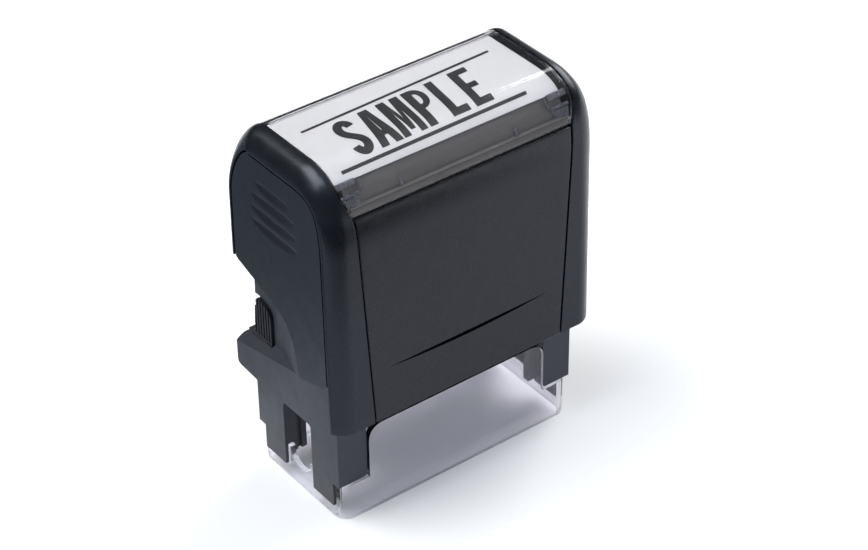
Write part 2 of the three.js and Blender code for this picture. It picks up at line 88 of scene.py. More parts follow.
SHOULDER = 68.5          # height where the long faces begin to lean in
SHOULDER_DEPTH = 18.7    # half depth of the cap there
FRONT_CURVE = (80.0, 15.4, 6.5)    # upright rise, pulled-in depth and flat top of the front shoulder
BACK_CURVE = (76.0, 13.1, 8.7)     # the same for the back shoulder
ROUND_START = 29.15      # where the bands begin to roll over to the ends
SIDE_ROUND = 2.75        # how far the roll pulls in at the front and back
TOP_ROUND = 4.15         # and on top
ROLL_MIX = 0.67          # share of a parabola in the roll, which leaves its end crisp
STRIP = 0.35             # flat strip of the band around an end panel
SIDE_INSET = 27.2        # inner edge of the bands level with the window's hem
TOP_INSET = 29.05        # inner edge of the bands on top
WALL = 2.0
PARTING = 0.36           # gap between neighbouring mouldings
PANEL_GAP = 0.60         # gap around an end panel


def bezier(p0, p1, p2, p3, t):
    s = 1 - t
    return tuple(
        s * s * s * a + 3 * s * s * t * b + 3 * s * t * t * c + t * t * t * d
        for a, b, c, d in zip(p0, p1, p2, p3)
    )


def shoulder(t, curve):
    """A point of a shoulder in (depth, z), from the long face at 0 to the flat top at 1."""
    rise, pull, flat = curve
    return bezier((SHOULDER_DEPTH, SHOULDER), (SHOULDER_DEPTH, rise), (pull, TOP), (flat, TOP), t)


def side_depth(z):
    """Half depth of the long faces, which lean in a little, at height z."""
    return HALF_DEPTH + (SHOULDER_DEPTH - HALF_DEPTH) * (z - HEM) / (SHOULDER - HEM)


def arch(front_hem, back_hem, side_rows=16, curve_rows=26, flat_rows=6):
    """The cap's outline from the front hem over the top to the back hem: a list of (y, z) points."""
    front_side = [front_hem + (SHOULDER - front_hem) * i / side_rows for i in range(side_rows)]
    back_side = [SHOULDER + (back_hem - SHOULDER) * i / side_rows for i in range(1, side_rows + 1)]
    rise = [shoulder(i / curve_rows, FRONT_CURVE) for i in range(curve_rows + 1)]
    fall = [shoulder(1 - i / curve_rows, BACK_CURVE) for i in range(curve_rows + 1)]
    width = FRONT_CURVE[2] + BACK_CURVE[2]
    points = [(-side_depth(z), z) for z in front_side]
    points += [(-y, z) for y, z in rise]
    points += [(width * i / flat_rows - FRONT_CURVE[2], TOP) for i in range(1, flat_rows)]
    points += fall
    points += [(side_depth(z), z) for z in back_side]
    return points


def normals(points):
    """Outward unit normals of an outline that runs from -Y over the top to +Y."""
    result = []
    for i in range(len(points)):
        (y0, z0), (y1, z1) = points[max(i - 1, 0)], points[min(i + 1, len(points) - 1)]
        length = math.hypot(y1 - y0, z1 - z0)
        result.append((-(z1 - z0) / length, (y1 - y0) / length))
    return result


def inset(points, amount):
    """Draws an outline in, by one amount or by one for each point."""
    amounts = amount if isinstance(amount, list) else [amount] * len(points)
    return [
        (y - a * ny, z - a * nz)
        for (y, z), (ny, nz), a in zip(points, normals(points), amounts)
    ]


def end_round(points):
    """How far the end edges pull in at each point of an outline: more on top than at the sides."""
    return [SIDE_ROUND + (TOP_ROUND - SIDE_ROUND) * max(nz, 0.0) ** 2 for _, nz in normals(points)]


FULL_ARCH = arch(HEM, BACK_HEM, 2, 60, 12)


def height_at(y, amount):
    """Height of the cap's outline, drawn in by amount, above a given y."""
    points = inset(FULL_ARCH, amount)
    for (y0, z0), (y1, z1) in zip(points, points[1:]):
        if y0 <= y <= y1 and y1 > y0:
            return z0 + (z1 - z0) * (y - y0) / (y1 - y0)
    return points[0][1]


def smoothstep(low, high, value):
    t = min(max((value - low) / (high - low), 0.0), 1.0)
    return t * t * (3 - 2 * t)


def band_edge(z):
    """Distance from the middle to a band's inner edge at height z."""
    share = min(max((z - HEM) / (WINDOW_HEM - HEM), -0.1), 1.0)
    side = HEM_INSET + (SIDE_INSET - HEM_INSET) * share
    return side + (TOP_INSET - SIDE_INSET) * smoothstep(WINDOW_HEM - 1, TOP - 3.5, z)


# ---- mesh helpers ----


def new_object(name, mesh):
    obj = bpy.data.objects.new(name, mesh)
    bpy.context.scene.collection.objects.link(obj)
    return obj


def from_bmesh(name, bm):
    bmesh.ops.recalc_face_normals(bm, faces=bm.faces[:])
    mesh = bpy.data.meshes.new(name)
    bm.to_mesh(mesh)
    bm.free()
    return new_object(name, mesh)


def shell(name, outer, inner):
    """A closed sheet between two grids of points in millimetres, both with the same rows."""
    bm = bmesh.new()
    grids = [[[bm.verts.new([c * MM for c in p]) for p in row] for row in g] for g in (outer, inner)]
    rows, columns = len(outer), len(outer[0])
    for grid in grids:
        for i in range(rows - 1):
            for j in range(columns - 1):
                bm.faces.new([grid[i][j], grid[i][j + 1], grid[i + 1][j + 1], grid[i + 1][j]])
    top, low = grids
    border = [(0, j) for j in range(columns)] + [(i, columns - 1) for i in range(1, rows)]
    border += [(rows - 1, j) for j in range(columns - 2, -1, -1)]
    border += [(i, 0) for i in range(rows - 2, 0, -1)]
    for (a, b), (c, d) in zip(border, border[1:] + border[:1]):
        bm.faces.new([top[a][b], top[c][d], low[c][d], low[a][b]])
    return from_bmesh(name, bm)


def prism(name, points, axis, low, high):
    """A closed prism of an outline in the two axes after the named one, in millimetres."""
    place = {
        "x": lambda a, b, c: (c, a, b),
        "y": lambda a, b, c: (a, c, b),
        "z": lambda a, b, c: (a, b, c),
    }[axis]
    bm = bmesh.new()
    rings = [[bm.verts.new([v * MM for v in place(a, b, c)]) for a, b in points] for c in (low, high)]
    for ring in rings:
        bm.faces.new(ring)
    for i in range(len(points)):
        j = (i + 1) % len(points)
        bm.faces.new([rings[0][i], rings[0][j], rings[1][j], rings[1][i]])
    return from_bmesh(name, bm)


def bake_modifiers(obj):
    """Replaces an object's mesh by what its modifiers make of it."""
    graph = bpy.context.evaluated_depsgraph_get()
    mesh = bpy.data.meshes.new_from_object(obj.evaluated_get(graph))
    obj.modifiers.clear()
    obj.data = mesh
    return obj


def bevel(obj, width, segments=3, angle=35.0):
    """Rounds the edges sharper than angle, by width in millimetres."""
    modifier = obj.modifiers.new("Rounded edges", "BEVEL")
    modifier.width = width * MM
    modifier.segments = segments
    modifier.limit_method = "ANGLE"
    modifier.angle_limit = math.radians(angle)
    modifier.use_clamp_overlap = True
    modifier.miter_outer = "MITER_ARC"
    return bake_modifiers(obj)


def cut(obj, *cutters):
    """Cuts the cutters out of obj and removes them."""
    for cutter in cutters:
        modifier = obj.modifiers.new("Cut", "BOOLEAN")
        modifier.operation = "DIFFERENCE"
        modifier.solver = "EXACT"
        modifier.object = cutter
        bake_modifiers(obj)
        bpy.data.objects.remove(cutter)
    return obj


def smooth(obj, angle=32.0):
    """Smooth shading, sharp where faces meet at more than angle, with flat faces kept even."""
    limit = math.radians(angle)
    bm = bmesh.new()
    bm.from_mesh(obj.data)
    for face in bm.faces:
        face.smooth = True
    for edge in bm.edges:
        edge.smooth = len(edge.link_faces) == 2 and edge.calc_face_angle(0.0) < limit
    bm.to_mesh(obj.data)
    bm.free()
    modifier = obj.modifiers.new("Even shading", "WEIGHTED_NORMAL")
    modifier.keep_sharp = True
    return bake_modifiers(obj)


def join(name, objects):
    """Several pieces of one moulding as one object."""
    bm = bmesh.new()
    for obj in objects:
        bm.from_mesh(obj.data)
        bpy.data.objects.remove(obj)
    mesh = bpy.data.meshes.new(name)
    bm.to_mesh(mesh)
    bm.free()
    return new_object(name, mesh)


def mirrored(obj, name):
    """A copy of obj on the other side of the plane X = 0."""
    bm = bmesh.new()
    bm.from_mesh(obj.data)
    bm.transform(Matrix.Scale(-1, 4, (1, 0, 0)))
    bmesh.ops.reverse_faces(bm, faces=bm.faces[:])
    mesh = bpy.data.meshes.new(name)
    bm.to_mesh(mesh)
    bm.free()
    return new_object(name, mesh)


def refined(node, name, width, segments=2, angle=30.0):
    """A copy of a CAD node with its flat faces merged and its edges rounded."""
    bm = bmesh.new()
    bm.from_mesh(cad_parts[node].data)
    bmesh.ops.remove_doubles(bm, verts=bm.verts[:], dist=0.002 * MM)
    bmesh.ops.dissolve_limit(
        bm, angle_limit=math.radians(0.6), verts=bm.verts[:], edges=bm.edges[:]
    )
    bmesh.ops.translate(bm, verts=bm.verts[:], vec=(0, -MIDDLE, 0))
    obj = from_bmesh(name, bm)
    bevel(obj, width, segments, angle)
    return smooth(obj)


# ---- materials ----


class Nodes:
    """A short way to build one material's node tree."""

    def __init__(self, name):
        self.material = bpy.data.materials.new(name)
        self.material.use_nodes = True
        self.tree = self.material.node_tree
        self.tree.nodes.clear()
        self.output = self.add("ShaderNodeOutputMaterial")
        self.shader = self.add("ShaderNodeBsdfPrincipled")
        self.link(self.shader.outputs[0], self.output.inputs[0])
        self.place = self.add("ShaderNodeTexCoord").outputs["Object"]

    def add(self, kind, **values):
        node = self.tree.nodes.new(kind)
        for key, value in values.items():
            setattr(node, key, value)
        return node

    def link(self, source, target):
        self.tree.links.new(source, target)

    def set(self, **values):
        for key, value in values.items():
            self.shader.inputs[key.replace("_", " ")].default_value = value

    def noise(self, size, detail=3.0, rough=0.5):
        """Noise whose features are about size millimetres across."""
        node = self.add("ShaderNodeTexNoise")
        node.inputs["Scale"].default_value = 1.0 / (size * MM)
        node.inputs["Detail"].default_value = detail
        node.inputs["Roughness"].default_value = rough
        self.link(self.place, node.inputs["Vector"])
        return node.outputs["Fac"]

    def ramp(self, source, low, high, start=0.3, end=0.7):
        """Maps a value to a number or a colour between low and high."""
        if isinstance(low, (int, float)):
            node = self.add("ShaderNodeMapRange")
            for key, value in zip(("From Min", "From Max", "To Min", "To Max"), (start, end, low, high)):
                node.inputs[key].default_value = value
            self.link(source, node.inputs["Value"])
            return node.outputs["Result"]
        node = self.add("ShaderNodeValToRGB")
        for element, place, color in zip(node.color_ramp.elements, (start, end), (low, high)):
            element.position = place
            element.color = (*color, 1)
        self.link(source, node.inputs["Fac"])
        return node.outputs["Color"]

    def bump(self, source, height, normal=None):
        """A bump of the given height in millimetres."""
        node = self.add("ShaderNodeBump")
        node.inputs["Strength"].default_value = 1.0
        node.inputs["Distance"].default_value = height * MM
        self.link(source, node.inputs["Height"])
        if normal is not None:
            self.link(normal, node.inputs["Normal"])
        return node.outputs["Normal"]


def moulded_plastic(name, dark, light, rough, grain_size=0.22, grain=0.007):
    """Moulded plastic: fine grain, slow colour drift, and a shine that varies a little."""
    n = Nodes(name)
    drift = n.noise(14.0, 2.0)
    n.link(n.ramp(drift, dark, light), n.shader.inputs["Base Color"])
    rub = n.noise(3.5, 5.0, 0.62)
    n.link(n.ramp(rub, rough - 0.05, rough + 0.06), n.shader.inputs["Roughness"])
    fine = n.bump(n.noise(grain_size, 2.0, 0.6), grain)
    waves = n.bump(n.noise(9.0, 1.0), 0.02, fine)
    n.link(waves, n.shader.inputs["Normal"])
    n.set(IOR=1.5, Specular_IOR_Level=0.5, Specular_Tint=(0.84, 0.90, 1.0, 1))
    return n.material


def clear_plastic(name, tint, rough=0.03):
    """Clear moulded plastic that lets the lamps' light through, with slight flow waves."""
    n = Nodes(name)
    n.set(Base_Color=(*tint, 1), Transmission_Weight=1.0, IOR=1.47, Specular_IOR_Level=0.5)
    n.link(n.ramp(n.noise(5.0, 4.0), rough, rough + 0.05), n.shader.inputs["Roughness"])
    n.link(n.bump(n.noise(6.0, 2.0), 0.015), n.shader.inputs["Normal"])
    clear = n.add("ShaderNodeBsdfTransparent")
    clear.inputs["Color"].default_value = (*[0.5 + 0.5 * c for c in tint], 1)
    shadow = n.add("ShaderNodeLightPath").outputs["Is Shadow Ray"]
    mix = n.add("ShaderNodeMixShader")
    n.link(shadow, mix.inputs["Fac"])
    n.link(n.shader.outputs[0], mix.inputs[1])
    n.link(clear.outputs[0], mix.inputs[2])
    n.link(mix.outputs[0], n.output.inputs[0])
    return n.material


def frosted_plastic(name, tint):
    """Hazy, slightly grey plastic of the window's clips."""
    n = Nodes(name)
    n.set(Base_Color=(*tint, 1), Transmission_Weight=0.8, IOR=1.47)
    n.link(n.ramp(n.noise(1.2, 3.0), 0.12, 0.30), n.shader.inputs["Roughness"])
    n.link(n.bump(n.noise(0.8, 2.0), 0.03), n.shader.inputs["Normal"])
    return n.material


def card_stock(name):
    n = Nodes(name)
    n.link(
        n.ramp(n.noise(0.35, 4.0, 0.7), (0.366, 0.360, 0.354), (0.390, 0.384, 0.379)),
        n.shader.inputs["Base Color"],
    )
    n.link(n.bump(n.noise(0.12, 3.0, 0.7), 0.006), n.shader.inputs["Normal"])
    n.set(Roughness=0.55, IOR=1.45)
    return n.material


def printing_ink(name):
    n = Nodes(name)
    n.link(
        n.ramp(n.noise(0.4, 4.0, 0.7), (0.004, 0.004, 0.004), (0.007, 0.007, 0.007)),
        n.shader.inputs["Base Color"],
    )
    n.set(Roughness=0.6, Specular_IOR_Level=0.1)
    return n.material


def stamp_rubber(name):
    n = Nodes(name)
    n.link(
        n.ramp(n.noise(2.5, 5.0, 0.6), (0.20, 0.040, 0.030), (0.32, 0.075, 0.055)),
        n.shader.inputs["Base Color"],
    )
    n.link(n.bump(n.noise(0.15, 3.0, 0.6), 0.02), n.shader.inputs["Normal"])
    n.set(Roughness=0.62, IOR=1.5, Sheen_Weight=0.15)
    return n.material


def closed_foam(name):
    n = Nodes(name)
    cells = n.add("ShaderNodeTexVoronoi")
    cells.inputs["Scale"].default_value = 1 / (0.45 * MM)
    n.link(n.place, cells.inputs["Vector"])
    n.link(
        n.ramp(cells.outputs["Distance"], (0.030, 0.030, 0.034), (0.075, 0.075, 0.080), 0.1, 0.6),
        n.shader.inputs["Base Color"],
    )
    n.link(n.bump(cells.outputs["Distance"], 0.09), n.shader.inputs["Normal"])
    n.set(Roughness=0.9)
    return n.material


def inked_cloth(name):
    """Woven cover of the ink pad, soaked in black ink."""
    n = Nodes(name)
    waves = []
    for direction in ("X", "Y"):
        wave = n.add("ShaderNodeTexWave", bands_direction=direction)
        wave.inputs["Scale"].default_value = 1 / (0.5 * MM) / math.pi
        wave.inputs["Distortion"].default_value = 0.6
        n.link(n.place, wave.inputs["Vector"])
        waves.append(wave.outputs["Fac"])
    weave = n.add("ShaderNodeMath", operation="MAXIMUM")
    n.link(waves[0], weave.inputs[0])
    n.link(waves[1], weave.inputs[1])
    n.link(n.bump(weave.outputs[0], 0.05), n.shader.inputs["Normal"])
    n.link(
        n.ramp(n.noise(4.0, 4.0), (0.006, 0.006, 0.008), (0.018, 0.018, 0.024)),
        n.shader.inputs["Base Color"],
    )
    n.link(n.ramp(n.noise(5.0, 3.0), 0.35, 0.75), n.shader.inputs["Roughness"])
    return n.material


def spring_steel(name):
    n = Nodes(name)
    n.link(
        n.ramp(n.noise(1.5, 4.0), (0.48, 0.49, 0.50), (0.66, 0.67, 0.68)),
        n.shader.inputs["Base Color"],
    )
    n.link(n.ramp(n.noise(0.6, 4.0), 0.18, 0.38), n.shader.inputs["Roughness"])
    n.link(n.bump(n.noise(0.2, 2.0), 0.006), n.shader.inputs["Normal"])
    n.set(Metallic=1.0)
    return n.material


CHARCOAL = moulded_plastic("Charcoal plastic", (0.003, 0.004, 0.006), (0.004, 0.005, 0.008), 0.29)
PANEL_GREY = moulded_plastic("Panel plastic", (0.004, 0.005, 0.007), (0.006, 0.007, 0.010), 0.38, 0.3, 0.02)
SLATE = moulded_plastic("Slate plastic", (0.003, 0.003, 0.004), (0.004, 0.004, 0.005), 0.26)
FRAME_GREY = moulded_plastic("Frame plastic", (0.026, 0.027, 0.033), (0.030, 0.031, 0.037), 0.42, 0.3, 0.02)
INNER_BLACK = moulded_plastic("Inner plastic", (0.006, 0.006, 0.008), (0.010, 0.010, 0.012), 0.45)
TRAY_GREY = moulded_plastic("Tray plastic", (0.060, 0.055, 0.051), (0.068, 0.062, 0.058), 0.45)
CLEAR = clear_plastic("Clear plastic", (0.86, 0.85, 0.90))
WINDOW_CLEAR = clear_plastic("Window plastic", (0.97, 0.97, 0.985), 0.015)
FROSTED = frosted_plastic("Frosted clear plastic", (0.24, 0.24, 0.27))
CARD = card_stock("Index card")
PRINT = printing_ink("Printing ink")
RUBBER = stamp_rubber("Stamp rubber")
FOAM = closed_foam("Closed-cell foam")
INK_CLOTH = inked_cloth("Inked cloth")
STEEL = spring_steel("Spring steel")


def finish_piece(obj, material, body, slot, *nodes):
    """Paints a piece, sets it on its body and hides the CAD nodes that it replaces."""
    obj.data.transform(Matrix.Translation((0, MIDDLE, 0)))
    obj.data.materials.clear()
    obj.data.materials.append(material)
    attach(obj, body)
    if nodes:
        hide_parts(*nodes)
    return obj


# ---- cap: end bands, end panels, long panels ----


def roll(turn, reach):
    """Share of the roll's depth after a turn from 0 to a right angle, and how far out it is."""
    out = math.sin(turn)
    drop = ROLL_MIX * out * out + (1 - ROLL_MIX) * (1 - math.cos(turn))
    return drop, ROUND_START + (reach - ROUND_START) * out


INNER_EASE = 0.3         # share of the wall by which a band's inner face rolls over less


def end_band():
    """The band of the right end: flat beside the panels, rolling over to a narrow end strip."""
    flat_columns, round_columns = 5, 16
    base = arch(HEM, BACK_HEM)
    depth = end_round(base)
    grids = ([], [])
    for layer, (wall, reach) in enumerate(((0.0, HALF_LENGTH), (WALL, PANEL_INNER))):
        columns = []
        for j in range(flat_columns + round_columns + 1):
            turn = max(j - flat_columns, 0) / round_columns * math.pi / 2
            share = min(j / flat_columns, 1.0)
            drop, x_round = roll(turn, reach)
            outline = inset(base, [wall + (d - wall * INNER_EASE) * drop for d in depth])
            column = []
            for (y, z), (_, z_outer) in zip(outline, base):
                edge = band_edge(z_outer)
                x = edge + (ROUND_START - edge) * share if j <= flat_columns else x_round
                column.append((x, y, max(z, HEM) if y < 0 else z))
            columns.append(column)
        opening = inset(base, [d + STRIP for d in depth])
        columns.append([(reach, y, z) for y, z in opening])
        grids[layer].extend([list(row) for row in zip(*columns)])
    obj = shell("right_band", grids[0], grids[1])
    bevel(obj, 0.22, 3, 50)
    return smooth(obj, 36)


def polygon_inset(points, amount):
    """Draws a closed polygon in by amount, corners included."""
    result = []
    count = len(points)
    for i in range(count):
        (y0, z0), (y1, z1), (y2, z2) = points[i - 1], points[i], points[(i + 1) % count]
        a = Vector((z0 - z1, y1 - y0)).normalized()
        b = Vector((z1 - z2, y2 - y1)).normalized()
        mitre = (a + b) / max(1 + a.dot(b), 0.3)
        result.append((y1 + amount * mitre.x, z1 + amount * mitre.y))
    return result


def rounded_corners(points, radius, steps=5):
    """Replaces the sharp corners of a closed polygon by arcs."""
    result = []
    count = len(points)
    for i in range(count):
        before, here, after = (Vector(points[k % count]) for k in (i - 1, i, i + 1))
        a, b = (before - here), (after - here)
        if a.angle(b) > math.radians(150):
            result.append(tuple(here))
            continue
        reach = min(radius / math.tan(a.angle(b) / 2), a.length * 0.45, b.length * 0.45)
        start, end = here + a.normalized() * reach, here + b.normalized() * reach
        for k in range(steps + 1):
            t = k / steps
            result.append(tuple(start * (1 - t) ** 2 + here * 2 * t * (1 - t) + end * t * t))
    return result


GROOVE_ROWS = ((75.3, 5.9), (72.1, 7.6), (68.9, 7.9), (65.7, 7.9))    # height and half width
GROOVE_CENTRE, GROOVE_HALF, GROOVE_DEPTH, GROOVE_SAG = 0.4, 1.0, 0.5, 0.5


def groove_depth(y, z):
    """Depth of the four grip grooves of an end panel at a point of its face."""
    deepest = 0.0
    for height, half in GROOVE_ROWS:
        along = 1 - ((y - GROOVE_CENTRE) / half) ** 2
        if along <= 0:
            continue
        off = (z - height - GROOVE_SAG * (0.5 - along)) / (GROOVE_HALF * math.sqrt(along))
        if abs(off) < 1:
            deepest = max(deepest, GROOVE_DEPTH * math.sqrt(along) * (1 - off * off))
    return deepest


PANEL_REAR_LOW = 53.0            # height of an end panel's rear corner
PANEL_FRONT_LOW = 37.4           # and of its front corner
PANEL_CURVE = ((5.2, 49.6), (-3.5, 47.5), (-5.2, 42), (-5.9, 34.6))    # lower edge between them
PANEL_CORNER = 1.3               # radius of its corners


def panel_outline():
    """Outline of an end panel in (y, z): the cap's arch with an S-shaped lower edge."""
    base = arch(HEM, BACK_HEM, 16, 18, 5)
    line = inset(base, [d + STRIP + PANEL_GAP for d in end_round(base)])
    front_start, rear_start = PANEL_FRONT_LOW + 1.1, PANEL_REAR_LOW + 1
    upper = [(y, z) for y, z in line if (y < 0 and z > front_start) or (y > 0 and z > rear_start)]
    steps = 18
    curve = [bezier(*PANEL_CURVE, i / steps) for i in range(1, steps)]
    lower = [(line[-1][0], PANEL_REAR_LOW), PANEL_CURVE[0]] + curve
    lower += [PANEL_CURVE[-1], (upper[0][0], PANEL_FRONT_LOW)]
    return rounded_corners(upper + lower, PANEL_CORNER)


def end_panel():
    """Slightly rounded plate with four grip grooves sunk in its face."""
    face, edge, step = HALF_LENGTH - 0.05, 0.16, 0.42
    outline = panel_outline()
    bm = bmesh.new()
    rings = []
    for x, amount in [(PANEL_INNER, 0.0)] + [
        (face - edge + edge * math.sin(a), edge * (1 - math.cos(a)))
        for a in (math.radians(d) for d in (0, 22, 45, 67, 90))
    ]:
        ring = polygon_inset(outline, amount)
        rings.append([bm.verts.new((x * MM, y * MM, z * MM)) for y, z in ring])
    for low, high in zip(rings, rings[1:]):
        for i in range(len(low)):
            j = (i + 1) % len(low)
            bm.faces.new([low[i], low[j], high[j], high[i]])
    bm.faces.new(rings[0])
    border = [Vector((v.co.y, v.co.z)) / MM for v in rings[-1]]
    inside = []
    zs = [p.y for p in border]
    for i in range(int((max(zs) - min(zs)) / step) + 1):
        z = min(zs) + step * (i + 0.5)
        crossings = []
        for a, b in zip(border, border[1:] + border[:1]):
            if (a.y - z) * (b.y - z) < 0:
                crossings.append(a.x + (b.x - a.x) * (z - a.y) / (b.y - a.y))
        crossings.sort()
        for low, high in zip(crossings[::2], crossings[1::2]):
            count = int((high - low) / step)
            inside += [Vector((low + (high - low) * k / count, z)) for k in range(1, count)]
    ring_edges = [(i, (i + 1) % len(border)) for i in range(len(border))]
    points, _, faces, source, _, _ = delaunay_2d_cdt(border + inside, ring_edges, [], 1, 1e-5)
    made = {}
    for i, (point, origin) in enumerate(zip(points, source)):
        if origin and origin[0] < len(border):
            made[i] = rings[-1][origin[0]]
        else:
            x = face - groove_depth(point.x, point.y)
            made[i] = bm.verts.new((x * MM, point.x * MM, point.y * MM))
    for triangle in faces:
        bm.faces.new([made[i] for i in triangle])
    return smooth(from_bmesh("right_panel", bm), 40)


def outer_y(z, front):
    """Half depth of the cap's outline at height z, and how far it leans there, in radians."""
    curve = FRONT_CURVE if front else BACK_CURVE
    if z <= SHOULDER:
        return side_depth(z), math.atan2(HALF_DEPTH - SHOULDER_DEPTH, SHOULDER - HEM)
    low, high = 0.0, 1.0
    for _ in range(30):
        middle = (low + high) / 2
        low, high = (middle, high) if shoulder(middle, curve)[1] < z else (low, middle)
    (y0, z0), (y1, z1) = shoulder(low, curve), shoulder(low + 0.01, curve)
    return y0, math.atan2(y0 - y1, z1 - z0)


def long_panel(name, front):
    """A long cover that follows the cap's outline, narrower at the hem."""
    low, high = (HEM, FRONT_TOP) if front else (BACK_HEM, FRONT_TOP)
    side = -1 if front else 1
    rows, columns = 46, 24
    grids = ([], [])
    for i in range(rows + 1):
        z0 = low + (high - low) * i / rows
        y0, lean = outer_y(z0, front)
        half = band_edge(z0) - PARTING
        for layer, depth in enumerate((0.0, WALL)):
            y = (y0 - depth * math.cos(lean)) * side
            z = z0 - depth * math.sin(lean)
            grids[layer].append([(half * (2 * j / columns - 1), y, z) for j in range(columns + 1)])
    obj = shell(name, grids[0], grids[1])
    bevel(obj, 0.3, 3, 50)
    return obj


def crease_cutter():
    """Shallow crescent across the front panel, deepest in the middle."""
    half, z, sag = 20.5, 39.0, 0.9
    steps = 30
    upper = [(half * (2 * i / steps - 1), z) for i in range(steps + 1)]
    lower = [(x, z - sag * (1 - (x / half) ** 2)) for x, _ in reversed(upper[1:-1])]
    return prism("cutter", upper + lower, "y", -HALF_DEPTH - 1, -HALF_DEPTH + 0.7)


band, panel = end_band(), end_panel()
finish_piece(mirrored(band, "left_band"), CHARCOAL, "cap", "charcoal_plastic", "left_end_band")
finish_piece(mirrored(panel, "left_panel"), PANEL_GREY, "cap", "charcoal_plastic", "left_end_panel")
finish_piece(band, CHARCOAL, "cap", "charcoal_plastic", "right_end_band")
finish_piece(panel, PANEL_GREY, "cap", "charcoal_plastic", "right_end_panel")
front = smooth(cut(long_panel("front_cover", True), crease_cutter()), 30)
finish_piece(front, SLATE, "cap", "slate_plastic", "front_panel")
back = smooth(long_panel("back_cover", False), 30)
finish_piece(back, SLATE, "cap", "slate_plastic", "back_panel")


# ---- cap: window, card and tray ----


def with_point(line, y):
    """The same line with one more point, where it reaches y."""
    for i, ((y0, z0), (y1, z1)) in enumerate(zip(line, line[1:])):
        if y0 < y < y1:
            return line[:i + 1] + [(y, z0 + (z1 - z0) * (y - y0) / (y1 - y0))] + line[i + 1:]
    return line


def top_strip(name, outer, inner, span, y_range=(-99, 99), columns=20):
    """A curved sheet that follows the cap's top: span(z) gives its low and high x."""
    grids = ([], [])
    line = FULL_ARCH
    for end in y_range:
        line = with_point(line, end)
    for layer, depth in enumerate((outer, inner)):
        for (y, z), (y0, z0) in zip(inset(line, depth), line):
            if z0 < WINDOW_HEM or not y_range[0] - 0.001 <= y0 <= y_range[1] + 0.001:
                continue
            low, high = span(z0)
            grids[layer].append([(low + (high - low) * j / columns, y, z) for j in range(columns + 1)])
    return shell(name, grids[0], grids[1])


def front_patch(name, corners, outer, inner, columns=4, rows=8):
    """A block under the front shoulder: corners are (z, low x, high x) at its top and bottom."""
    (z_top, a_top, b_top), (z_low, a_low, b_low) = corners
    grids = ([], [])
    for i in range(rows + 1):
        t = i / rows
        y0, lean = outer_y(z_low + (z_top - z_low) * t, True)
        low, high = a_low + (a_top - a_low) * t, b_low + (b_top - b_low) * t
        for layer, depth in enumerate((outer, inner)):
            y = depth * math.cos(lean) - y0
            z = z_low + (z_top - z_low) * t - depth * math.sin(lean)
            grids[layer].append([(low + (high - low) * j / columns, y, z) for j in range(columns + 1)])
    return shell(name, grids[0], grids[1])


PANE_OUTER = 0.12        # depth of the pane's outer face below the cap's outline
PANE_INNER = 1.2         # and of its inner face
LINE_HALF = 28.2         # half length of the raised line near the pane's back edge
LINE_FRONT, LINE_BACK = 7.9, 8.7
CLIP_TOP = 1.25          # depth where the clips begin, just under the pane


def window_pane():
    """Clear pane, with a raised line along its back edge."""
    def span(z):
        half = band_edge(z) - PARTING
        return -half, half

    pane = top_strip("index_pane", PANE_OUTER, PANE_INNER, span)
    bevel(pane, 0.08, 2, 50)
    line = top_strip("line", -0.02, 0.1, lambda z: (-LINE_HALF, LINE_HALF), (LINE_FRONT, LINE_BACK))
    return smooth(join("index_pane", [pane, line]), 40)


def window_clips(side):
    """Snap clip under a front corner of the window: two bars, a block with a boss, a slot and a rib."""
    def patch(corners, outer, inner):
        placed = tuple((z, min(side * a, side * b), max(side * a, side * b)) for z, a, b in corners)
        return front_patch("clip", placed, outer, inner)

    upper_bar = patch(((83.75, 23.7, 28.4), (82.75, 24.0, 28.4)), CLIP_TOP, 1.95)
    lower_bar = patch(((81.5, 23.8, 28.1), (80.9, 23.8, 28.1)), CLIP_TOP, 1.8)
    block = patch(((80.7, 23.8, 28.0), (77.2, 24.4, 27.3)), 1.5, 1.9)
    boss = [
        patch(((79.5, low, high), (z_low, low, high)), CLIP_TOP, 1.5)
        for low, high, z_low in ((25.1, 25.35, 77.9), (27.0, 27.25, 77.9), (25.35, 27.0, 79.2))
    ]
    slot = patch(((83.5, 22.95, 23.15), (81.3, 23.05, 23.25)), CLIP_TOP, 1.95)
    rib = patch(((80.9, 13.98, 14.42), (78.1, 14.1, 14.3)), CLIP_TOP, 1.9)
    parts = [upper_bar, lower_bar, block, *boss, slot, rib]
    for part in parts:
        bevel(part, 0.08, 2, 50)
    return smooth(join(f"window_clip_{'left' if side < 0 else 'right'}", parts), 40)


CARD_FRONT, CARD_BACK = -14.1, 15.5
CARD_LEFT, CARD_RIGHT = -28.8, 27.1
CARD_DEPTH = 1.45        # below the cap's outline
CARD_THICK = 0.3
DECK_HALF = 26.9         # half length of the dark deck under the card
DECK_LIP = (-16.6, -15.6, 73.5, 78.5)    # front, back, low and high sides of its front lip

finish_piece(window_pane(), WINDOW_CLEAR, "window", "clear_plastic", "index_window")
for side in (-1, 1):
    finish_piece(window_clips(side), FROSTED, "window", "clear_plastic")
card = top_strip(
    "index_card", CARD_DEPTH, CARD_DEPTH + CARD_THICK, lambda z: (CARD_LEFT, CARD_RIGHT),
    (CARD_FRONT, CARD_BACK),
)
finish_piece(smooth(card), CARD, "cap", "card", "index_label")


def index_deck():
    """Dark sheet under the card, with a lip that closes the gap below the window's front."""
    deck = bevel(top_strip("index_deck", 2.0, 3.5, lambda z: (-DECK_HALF, DECK_HALF)), 0.2, 2, 50)
    front, back, low, high = DECK_LIP
    corners = [(-DECK_HALF, front), (DECK_HALF, front), (DECK_HALF, back), (-DECK_HALF, back)]
    lip = prism("deck_lip", corners, "z", low, high)
    return smooth(join("index_deck", [deck, lip]))


finish_piece(index_deck(), TRAY_GREY, "cap", "inner_plastic", "index_tray")


# ---- lettering: a generic word in plain block capitals ----

